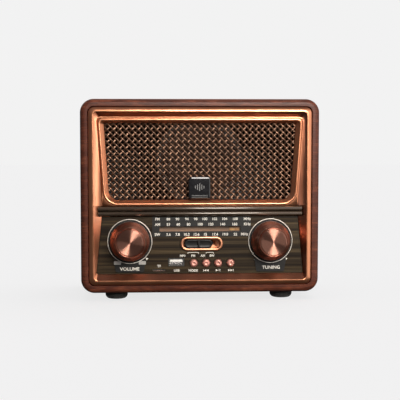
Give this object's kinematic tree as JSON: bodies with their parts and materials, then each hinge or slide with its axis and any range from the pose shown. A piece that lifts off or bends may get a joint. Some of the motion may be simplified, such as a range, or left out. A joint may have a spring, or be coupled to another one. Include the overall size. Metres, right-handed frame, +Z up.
{
  "type": "tabletop radio",
  "caption": "Retro tabletop radio: wooden sleeve cabinet, copper front with mesh grille, string-driven dial, knobs, switch, buttons and folding rod antenna.",
  "frame": {"origin": "on the surface the radio stands on, below the middle of the whole radio's box", "axes": "+X to the right seen from the front, -Y out of the front, +Z up"},
  "size_m": [0.21, 0.13, 0.1765],
  "materials": {
    "walnut_wood": "satin lacquer",
    "panel_wood": "satin lacquer",
    "copper_plastic": "metallic copper coating, satin",
    "copper_disc": "spun and copper anodised",
    "bronze_mesh": "bronze lacquer",
    "smoked_plastic": "gloss",
    "gloss_black": "high gloss",
    "clear_plastic": "clear",
    "black_plastic": "moulded texture",
    "rubber": "matte",
    "plated_steel": "plated",
    "pressed_steel": "bare",
    "white_plastic": "moulded",
    "amber_plastic": "translucent amber",
    "circuit_board": "lacquered",
    "cone_paper": "matte",
    "ferrite": "matte",
    "winding": "enamelled wire",
    "cell_wrap": "shrink wrap",
    "thread": "braided"
  },
  "bodies": {
    "cabinet": {"cabinet_sleeve": "walnut_wood", "front_bezel": "copper_plastic", "speaker_grille": "bronze_mesh", "grille_badge": "gloss_black", "trim_bar": "smoked_plastic", "dial_panel": "panel_wood", "scale_window": "clear_plastic", "pointer_rail": "copper_plastic", "volume_knob_ring": "plated_steel", "tuning_knob_ring": "plated_steel", "band_switch_bezel": "copper_plastic", "band_switch_body": "pressed_steel", "usb_port": "plated_steel", "usb_tongue": "white_plastic", "card_slot": "plated_steel", "key_board": "circuit_board", "main_board": "circuit_board", "volume_potentiometer": "pressed_steel", "tuning_capacitor": "pressed_steel", "dial_cord": "thread", "ferrite_rod": "ferrite", "ferrite_coil": "winding", "speaker_basket": "pressed_steel", "speaker_magnet": "ferrite", "rear_cover": "black_plastic", "battery_cell": "cell_wrap", "battery_spring": "plated_steel", "dc_socket": "black_plastic", "aux_socket": "black_plastic", "rear_screw_1": "plated_steel", "rear_screw_2": "plated_steel", "rear_screw_3": "plated_steel", "rear_screw_4": "plated_steel", "foot_front_left": "rubber", "foot_front_right": "rubber", "foot_rear_left": "rubber", "foot_rear_right": "rubber"},
    "tuning_knob": {"tuning_knob": "copper_plastic", "tuning_knob_cap": "copper_disc", "tuning_shaft": "plated_steel", "dial_drum": "white_plastic"},
    "volume_knob": {"volume_knob": "copper_plastic", "volume_knob_cap": "copper_disc", "volume_shaft": "plated_steel"},
    "pointer": {"tuning_pointer": "amber_plastic"},
    "idler_left": {"idler_pulley_left": "white_plastic"},
    "idler_right": {"idler_pulley_right": "white_plastic"},
    "band_switch": {"band_switch_slider": "black_plastic"},
    "mode_button": {"mode_button": "copper_plastic"},
    "previous_button": {"previous_button": "copper_plastic"},
    "play_button": {"play_button": "copper_plastic"},
    "next_button": {"next_button": "copper_plastic"},
    "speaker_cone": {"speaker_cone": "cone_paper"},
    "battery_door": {"battery_door": "black_plastic"},
    "antenna_base": {"antenna_swivel": "plated_steel"},
    "antenna_rod": {"antenna_section_1": "plated_steel"},
    "antenna_second": {"antenna_section_2": "plated_steel"},
    "antenna_third": {"antenna_section_3": "plated_steel"},
    "antenna_tip": {"antenna_section_4": "plated_steel"}
  },
  "joints": [
    {"name": "tuning_turn", "type": "hinge", "parent": "cabinet", "child": "tuning_knob", "pos_m": [0.0621, -0.0485, 0.052], "axis": [0, 1, 0], "range_deg": [-170, 0]},
    {"name": "volume_turn", "type": "hinge", "parent": "cabinet", "child": "volume_knob", "pos_m": [-0.0621, -0.0485, 0.052], "axis": [0, 1, 0], "range_deg": [0, 300]},
    {"name": "pointer_slide", "type": "slide", "parent": "cabinet", "child": "pointer", "axis": [1, 0, 0], "range_m": [-0.06, 0]},
    {"name": "idler_left_turn", "type": "hinge", "parent": "cabinet", "child": "idler_left", "pos_m": [-0.046, -0.0337, 0.06745], "axis": [0, 1, 0], "range_deg": [-725, 0]},
    {"name": "idler_right_turn", "type": "hinge", "parent": "cabinet", "child": "idler_right", "pos_m": [0.035, -0.0337, 0.05795], "axis": [0, 1, 0], "range_deg": [0, 725]},
    {"name": "band_switch_slide", "type": "slide", "parent": "cabinet", "child": "band_switch", "axis": [1, 0, 0], "range_m": [0, 0.0065]},
    {"name": "mode_button_press", "type": "slide", "parent": "cabinet", "child": "mode_button", "axis": [0, 1, 0], "range_m": [0, 0.0008], "stiffness_N_per_m": 400},
    {"name": "previous_button_press", "type": "slide", "parent": "cabinet", "child": "previous_button", "axis": [0, 1, 0], "range_m": [0, 0.0008], "stiffness_N_per_m": 400},
    {"name": "play_button_press", "type": "slide", "parent": "cabinet", "child": "play_button", "axis": [0, 1, 0], "range_m": [0, 0.0008], "stiffness_N_per_m": 400},
    {"name": "next_button_press", "type": "slide", "parent": "cabinet", "child": "next_button", "axis": [0, 1, 0], "range_m": [0, 0.0008], "stiffness_N_per_m": 400},
    {"name": "cone_travel", "type": "slide", "parent": "cabinet", "child": "speaker_cone", "axis": [0, 1, 0], "range_m": [-0.001, 0.001], "stiffness_N_per_m": 600},
    {"name": "battery_door_hinge", "type": "hinge", "parent": "cabinet", "child": "battery_door", "pos_m": [0, 0.0555, 0.0265], "axis": [-1, 0, 0], "range_deg": [0, 85]},
    {"name": "antenna_turn", "type": "hinge", "parent": "cabinet", "child": "antenna_base", "pos_m": [0.084, 0.0558, 0.1545], "axis": [0, 1, 0], "range_deg": [0, 180]},
    {"name": "antenna_tilt", "type": "hinge", "parent": "antenna_base", "child": "antenna_rod", "pos_m": [0.084, 0.0615, 0.1545], "axis": [0, 0, -1], "range_deg": [0, 90]},
    {"name": "second_section_pull", "type": "slide", "parent": "antenna_rod", "child": "antenna_second", "axis": [-1, 0, 0], "range_m": [0, 0.125]},
    {"name": "third_section_pull", "type": "slide", "parent": "antenna_second", "child": "antenna_third", "axis": [-1, 0, 0], "range_m": [0, 0.125]},
    {"name": "tip_section_pull", "type": "slide", "parent": "antenna_third", "child": "antenna_tip", "axis": [-1, 0, 0], "range_m": [0, 0.125]}
  ],
  "couplings": [
    {"joint": "pointer_slide", "follows": "tuning_turn", "m_per_rad": 0.0202},
    {"joint": "idler_left_turn", "follows": "tuning_turn", "ratio": 4.2526},
    {"joint": "idler_right_turn", "follows": "tuning_turn", "ratio": -4.2526}
  ]
}
